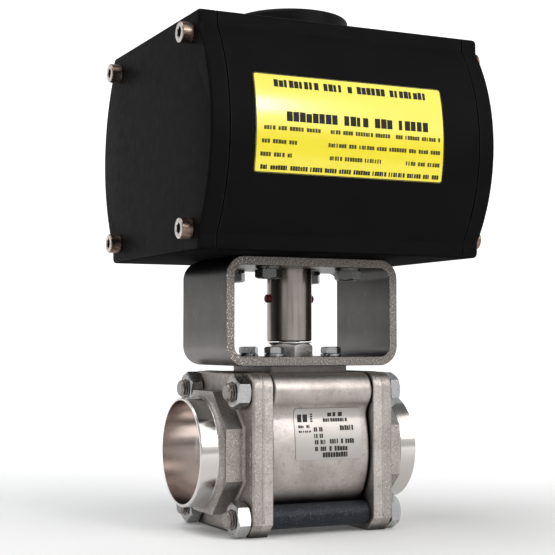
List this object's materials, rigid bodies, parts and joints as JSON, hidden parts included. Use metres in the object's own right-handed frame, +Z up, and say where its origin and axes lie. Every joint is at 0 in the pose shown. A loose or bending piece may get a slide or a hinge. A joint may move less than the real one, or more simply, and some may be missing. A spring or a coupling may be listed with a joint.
{
  "type": "pneumatic actuated valve",
  "caption": "Clamped-body ball valve with butt-weld ends; a tube bracket carries a black spring-return rack and pinion pneumatic actuator with a position indicator.",
  "frame": {"origin": "on the standing face of the flanges, under the stem axis (middle of the whole part's footprint)", "axes": "+Z up along the stem, X along the pipe, +Y towards the air ports; the label and nameplate face -Y"},
  "size_m": [0.181, 0.1713, 0.2915],
  "materials": {
    "cast_stainless": "blasted stainless casting with machined ends",
    "plated_steel": "bright zinc plated",
    "stainless_plate": "satin stainless tube with sawn edges",
    "turned_stainless": "turned satin",
    "blackened_steel": "blue-black satin",
    "silver_plate": "matte silver foil",
    "red_plastic": "moulded",
    "black_anodised": "satin black hard coat",
    "stainless_screw": "machined",
    "yellow_label": "printed glossy film",
    "white_ptfe": "waxy",
    "black_rubber": "smooth",
    "bare_aluminium": "machined",
    "nickel_steel": "nickel plated",
    "spring_steel": "drawn wire",
    "bearing_polymer": "moulded",
    "black_plastic": "fine moulded texture",
    "pointer_plastic": "moulded",
    "polished_ball": "mirror polished"
  },
  "bodies": {
    "housing": {"left_end_cap": "cast_stainless", "right_end_cap": "cast_stainless", "valve_body": "cast_stainless", "nameplate": "silver_plate", "left_seat": "white_ptfe", "right_seat": "white_ptfe", "body_seals": "white_ptfe", "stem_thrust_washer": "white_ptfe", "stem_packing": "white_ptfe", "gland_follower": "turned_stainless", "gland_spring_washers": "spring_steel", "gland_nut": "turned_stainless", "lock_disc": "turned_stainless", "body_bolts": "plated_steel", "body_nuts": "plated_steel", "bolt_sleeves": "blackened_steel", "mounting_bracket": "stainless_plate", "bracket_to_valve_bolts": "plated_steel", "bracket_to_valve_washers": "plated_steel", "bracket_to_actuator_bolts": "plated_steel", "bracket_to_actuator_washers": "plated_steel", "actuator_body": "black_anodised", "front_label": "yellow_label", "lower_bearing": "bearing_polymer", "upper_bearing": "bearing_polymer", "top_washer": "bearing_polymer", "indicator_dial": "black_plastic", "left_end_cover": "black_anodised", "left_cover_gasket": "black_rubber", "left_cover_screws": "stainless_screw", "left_springs": "spring_steel", "right_end_cover": "black_anodised", "right_cover_gasket": "black_rubber", "right_cover_screws": "stainless_screw", "right_springs": "spring_steel"},
    "drive_train": {"ball": "polished_ball", "stem": "turned_stainless", "coupling": "turned_stainless", "coupling_dots": "red_plastic", "pinion": "nickel_steel", "pinion_seals": "black_rubber", "snap_ring": "spring_steel", "indicator_cap": "black_plastic", "indicator_pointer": "pointer_plastic", "indicator_screw": "stainless_screw"},
    "left_piston_set": {"left_piston": "bare_aluminium", "left_piston_seal": "black_rubber", "left_guide_band": "white_ptfe", "left_rack_guide": "white_ptfe"},
    "right_piston_set": {"right_piston": "bare_aluminium", "right_piston_seal": "black_rubber", "right_guide_band": "white_ptfe", "right_rack_guide": "white_ptfe"}
  },
  "joints": [
    {"name": "stem_turn", "type": "hinge", "parent": "housing", "child": "drive_train", "pos_m": [0, 0, 0.1], "axis": [0, 0, -1], "range_deg": [0, 90], "stiffness_Nm_per_rad": 2, "springref_deg": -11.46},
    {"name": "left_piston_slide", "type": "slide", "parent": "housing", "child": "left_piston_set", "axis": [-1, 0, 0], "range_m": [0, 0.02121], "deforming": ["left_springs"]},
    {"name": "right_piston_slide", "type": "slide", "parent": "housing", "child": "right_piston_set", "axis": [1, 0, 0], "range_m": [0, 0.02121], "deforming": ["right_springs"]}
  ],
  "couplings": [
    {"joint": "left_piston_slide", "follows": "stem_turn", "m_per_rad": 0.0135},
    {"joint": "right_piston_slide", "follows": "stem_turn", "m_per_rad": 0.0135}
  ]
}
